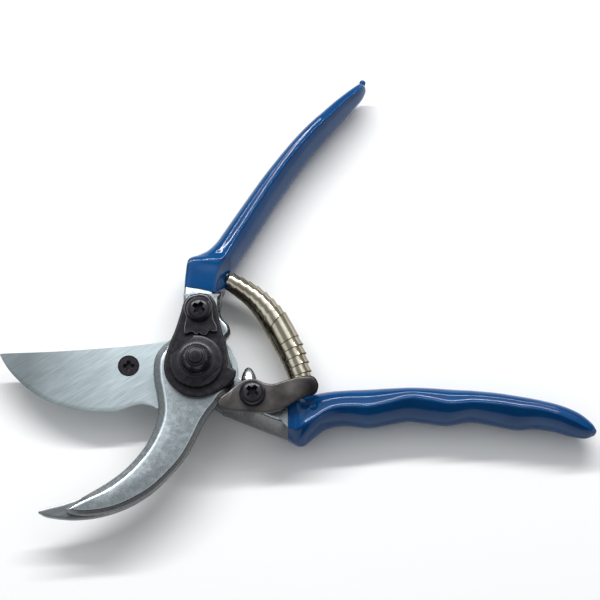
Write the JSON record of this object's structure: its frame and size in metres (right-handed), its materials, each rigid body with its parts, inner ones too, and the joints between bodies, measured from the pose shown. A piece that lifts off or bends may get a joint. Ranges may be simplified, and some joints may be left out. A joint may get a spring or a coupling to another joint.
{
  "type": "pruning shears",
  "caption": "Bypass pruning shears lying open on their back: curved blade, aluminium hook, nut-locked pivot, volute spring, thumb catch and blue dipped grips.",
  "frame": {"origin": "centre of the pivot bolt's flat back face, on the pivot axis", "axes": "+Z along the pivot axis towards the nut at the front, +X towards the lower handle, -X towards the blade's tip, +Y towards the upper handle"},
  "size_m": [0.2102, 0.1645, 0.0309],
  "materials": {
    "aluminium": "forged and lightly polished",
    "blade_steel": "ground at a slant",
    "hook_steel": "darker hardened steel",
    "spring_steel": "bright, with a golden tint",
    "black_steel": "satin black",
    "catch_steel": "burnished dark brown",
    "bronze": "plain bearing bronze",
    "blue_vinyl": "glossy dip coating"
  },
  "bodies": {
    "hook_handle": {"upper_handle": "aluminium", "upper_grip": "blue_vinyl", "counter_blade": "hook_steel", "counter_blade_screw_1": "black_steel", "counter_blade_screw_2": "black_steel", "cover_plate": "black_steel", "lock_plate": "black_steel", "lock_plate_screw": "black_steel", "pivot_nut": "black_steel", "pivot_bolt": "black_steel", "head_washer": "bronze", "upper_spring_pin": "black_steel", "volute_spring": "spring_steel"},
    "blade_handle": {"lower_handle": "aluminium", "lower_grip": "blue_vinyl", "cutting_blade": "blade_steel", "blade_screw": "black_steel", "pivot_bushing": "bronze", "catch_bushing": "bronze", "catch_spring_washer": "black_steel", "catch_screw": "black_steel", "lower_spring_pin": "black_steel"},
    "catch": {"catch_lever": "catch_steel"}
  },
  "joints": [
    {"name": "jaw_pivot", "type": "hinge", "parent": "hook_handle", "child": "blade_handle", "pos_m": [0, 0, 0], "axis": [0, 0, 1], "range_deg": [0, 48], "stiffness_Nm_per_rad": 1, "springref_deg": -11.46, "deforming": ["volute_spring"]},
    {"name": "catch_turn", "type": "hinge", "parent": "blade_handle", "child": "catch", "pos_m": [0.0196, -0.0112, 0.02], "axis": [0, 0, 1], "range_deg": [-8, 5]}
  ]
}
